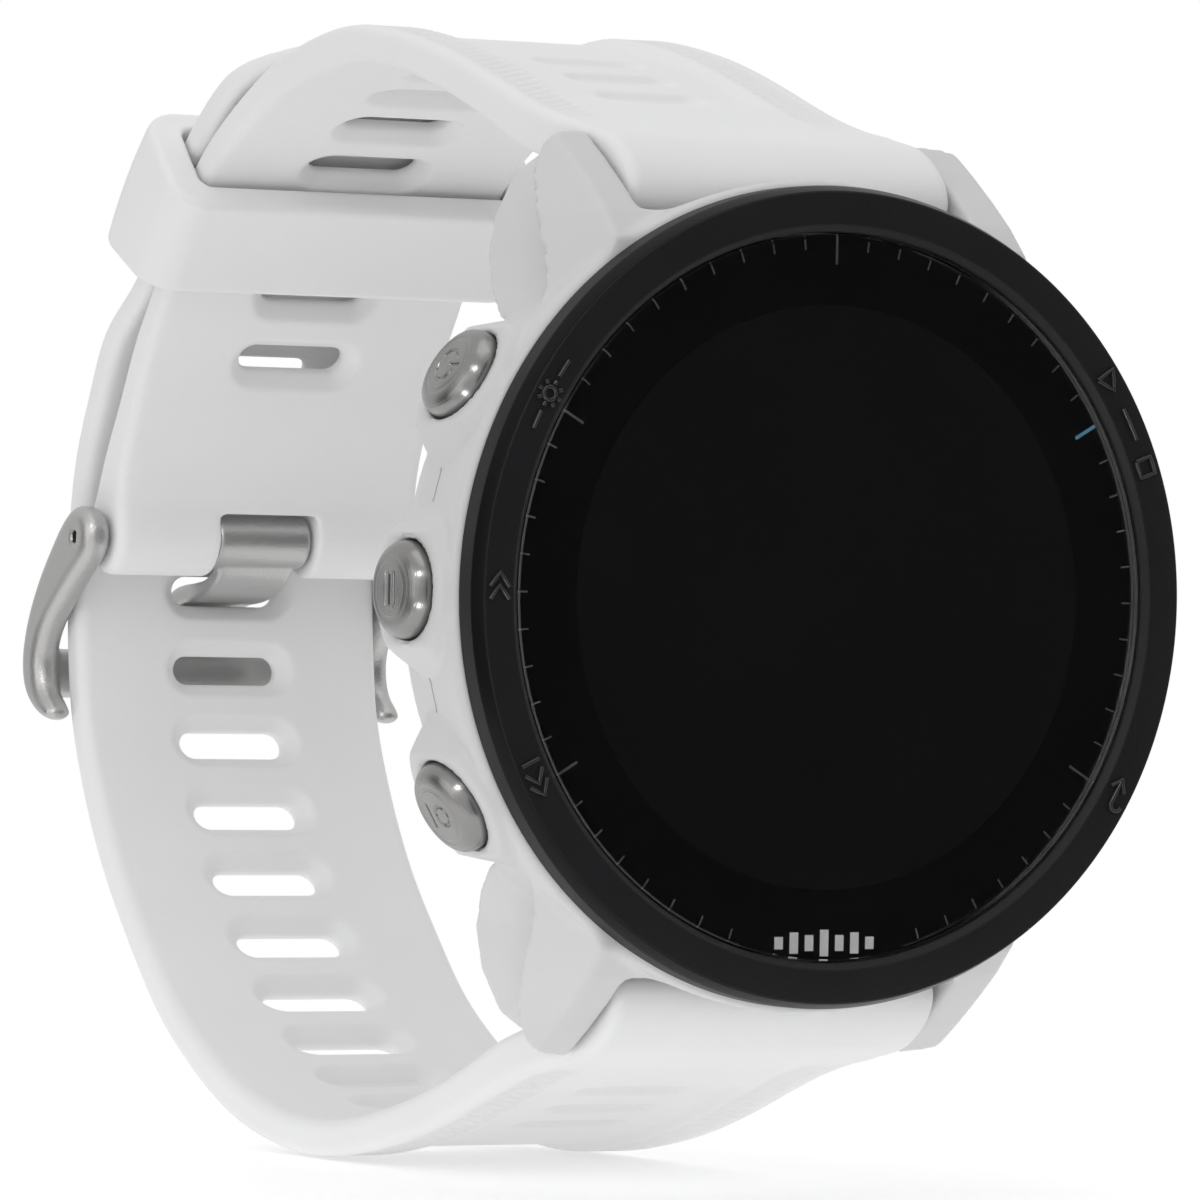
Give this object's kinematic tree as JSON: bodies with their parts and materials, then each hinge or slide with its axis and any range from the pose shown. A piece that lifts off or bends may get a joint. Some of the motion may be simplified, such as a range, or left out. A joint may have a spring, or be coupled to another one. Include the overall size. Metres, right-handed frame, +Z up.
{
  "type": "gps running watch",
  "caption": "Round running watch with side buttons, dark bezel and display, and a white silicone strap buckled in a closed loop for a wrist.",
  "frame": {"origin": "centre of the closed strap loop, where the wrist's axis passes, 42 mm behind the printed dial and level with the dial's centre", "axes": "+X along the wrist towards 3 o'clock, +Z up towards 12 o'clock, and the dial faces -Y"},
  "size_m": [0.0488, 0.0796, 0.0679],
  "materials": {
    "case_white": "fine satin moulded polymer",
    "bezel": "fine grained fibre-reinforced polymer",
    "lens_glass": "polished",
    "display": "unlit, black",
    "sensor_glass": "polished dark",
    "inner_plastic": "moulded",
    "circuit_board": "solder mask",
    "battery_foil": "foil pouch",
    "contact_brass": "gold plated",
    "led_lens": "clear moulded",
    "plain_steel": "turned",
    "seal_rubber": "moulded",
    "button_steel": "concentric turned",
    "buckle_steel": "bead blasted",
    "strap_silicone": "matte moulded silicone"
  },
  "bodies": {
    "case": {"main_case": "case_white", "bezel": "bezel", "lens": "lens_glass", "back_cover": "case_white", "back_screws": "plain_steel", "sensor_window": "sensor_glass", "display_panel": "display", "inner_frame": "inner_plastic", "main_board": "circuit_board", "shield_cans": "plain_steel", "battery": "battery_foil", "vibration_motor": "plain_steel", "buzzer": "contact_brass", "gps_antenna": "contact_brass", "button_switches": "plain_steel", "lens_gasket": "seal_rubber", "back_gasket": "seal_rubber", "sensor_board": "circuit_board", "sensor_leds": "led_lens", "charging_contacts": "contact_brass", "button_seals": "seal_rubber"},
    "button_up_body": {"button_up": "button_steel", "clip_up": "plain_steel"},
    "button_light_body": {"button_light": "button_steel", "clip_light": "plain_steel"},
    "button_down_body": {"button_down": "button_steel", "clip_down": "plain_steel"},
    "button_start_body": {"button_start": "button_steel", "clip_start": "plain_steel"},
    "button_back_body": {"button_back": "button_steel", "clip_back": "plain_steel"},
    "short_root": {"strap_short_root": "strap_silicone", "bar_tube_top": "plain_steel", "bar_spring_top": "plain_steel"},
    "release_top": {"bar_plunger_top": "plain_steel"},
    "clasp": {"strap_short_end": "strap_silicone", "strap_long_end": "strap_silicone", "buckle_pin": "buckle_steel"},
    "long_root": {"strap_long_root": "strap_silicone", "bar_tube_bottom": "plain_steel", "bar_spring_bottom": "plain_steel"},
    "release_bottom": {"bar_plunger_bottom": "plain_steel"},
    "buckle": {"buckle_frame": "buckle_steel"},
    "tongue": {"buckle_tongue": "buckle_steel"},
    "keeper_loop": {"keeper": "strap_silicone"}
  },
  "joints": [
    {"name": "up_press", "type": "slide", "parent": "case", "child": "button_up_body", "axis": [1, 0, 0], "range_m": [0, 0.0005], "stiffness_N_per_m": 2000, "springref_m": -0.0005},
    {"name": "light_press", "type": "slide", "parent": "case", "child": "button_light_body", "axis": [0.866, 0, -0.5], "range_m": [0, 0.0005], "stiffness_N_per_m": 2000, "springref_m": -0.0005},
    {"name": "down_press", "type": "slide", "parent": "case", "child": "button_down_body", "axis": [0.866, 0, 0.5], "range_m": [0, 0.0005], "stiffness_N_per_m": 2000, "springref_m": -0.0005},
    {"name": "start_press", "type": "slide", "parent": "case", "child": "button_start_body", "axis": [-0.866, 0, -0.5], "range_m": [0, 0.0005], "stiffness_N_per_m": 2000, "springref_m": -0.0005},
    {"name": "back_press", "type": "slide", "parent": "case", "child": "button_back_body", "axis": [-0.866, 0, 0.5], "range_m": [0, 0.0005], "stiffness_N_per_m": 2000, "springref_m": -0.0005},
    {"name": "short_strap_pivot", "type": "hinge", "parent": "case", "child": "short_root", "pos_m": [0, -0.0308, 0.0234], "axis": [1, 0, 0], "range_deg": [-4, 4], "stiffness_Nm_per_rad": 1},
    {"name": "short_strap_flex", "type": "hinge", "parent": "short_root", "child": "clasp", "pos_m": [0, 0, 0.0234], "axis": [1, 0, 0], "range_deg": [-4, 4]},
    {"name": "long_strap_flex", "type": "hinge", "parent": "clasp", "child": "long_root", "pos_m": [0, 0, -0.0234], "axis": [1, 0, 0], "range_deg": [-4, 4]},
    {"name": "top_bar_release", "type": "slide", "parent": "short_root", "child": "release_top", "axis": [1, 0, 0], "range_m": [0, 0.0014], "stiffness_N_per_m": 1500, "springref_m": -0.001, "deforming": ["bar_spring_top"]},
    {"name": "bottom_bar_release", "type": "slide", "parent": "long_root", "child": "release_bottom", "axis": [1, 0, 0], "range_m": [0, 0.0014], "stiffness_N_per_m": 1500, "springref_m": -0.001, "deforming": ["bar_spring_bottom"]},
    {"name": "buckle_lift", "type": "hinge", "parent": "clasp", "child": "buckle", "pos_m": [0, 0.0282, 0.003], "axis": [1, 0, 0], "range_deg": [0, 4]},
    {"name": "tongue_lift", "type": "hinge", "parent": "clasp", "child": "tongue", "pos_m": [0, 0.0282, 0.003], "axis": [1, 0, 0], "range_deg": [0, 4]},
    {"name": "keeper_slide", "type": "hinge", "parent": "clasp", "child": "keeper_loop", "pos_m": [0, 0.0009, 0.0089], "axis": [1, 0, 0], "range_deg": [-3.5, 3.5]}
  ],
  "couplings": [
    {"joint": "short_strap_flex", "follows": "short_strap_pivot", "ratio": -1},
    {"joint": "long_strap_flex", "follows": "short_strap_pivot", "ratio": 1},
    {"joint": "tongue_lift", "follows": "buckle_lift", "ratio": 1}
  ]
}
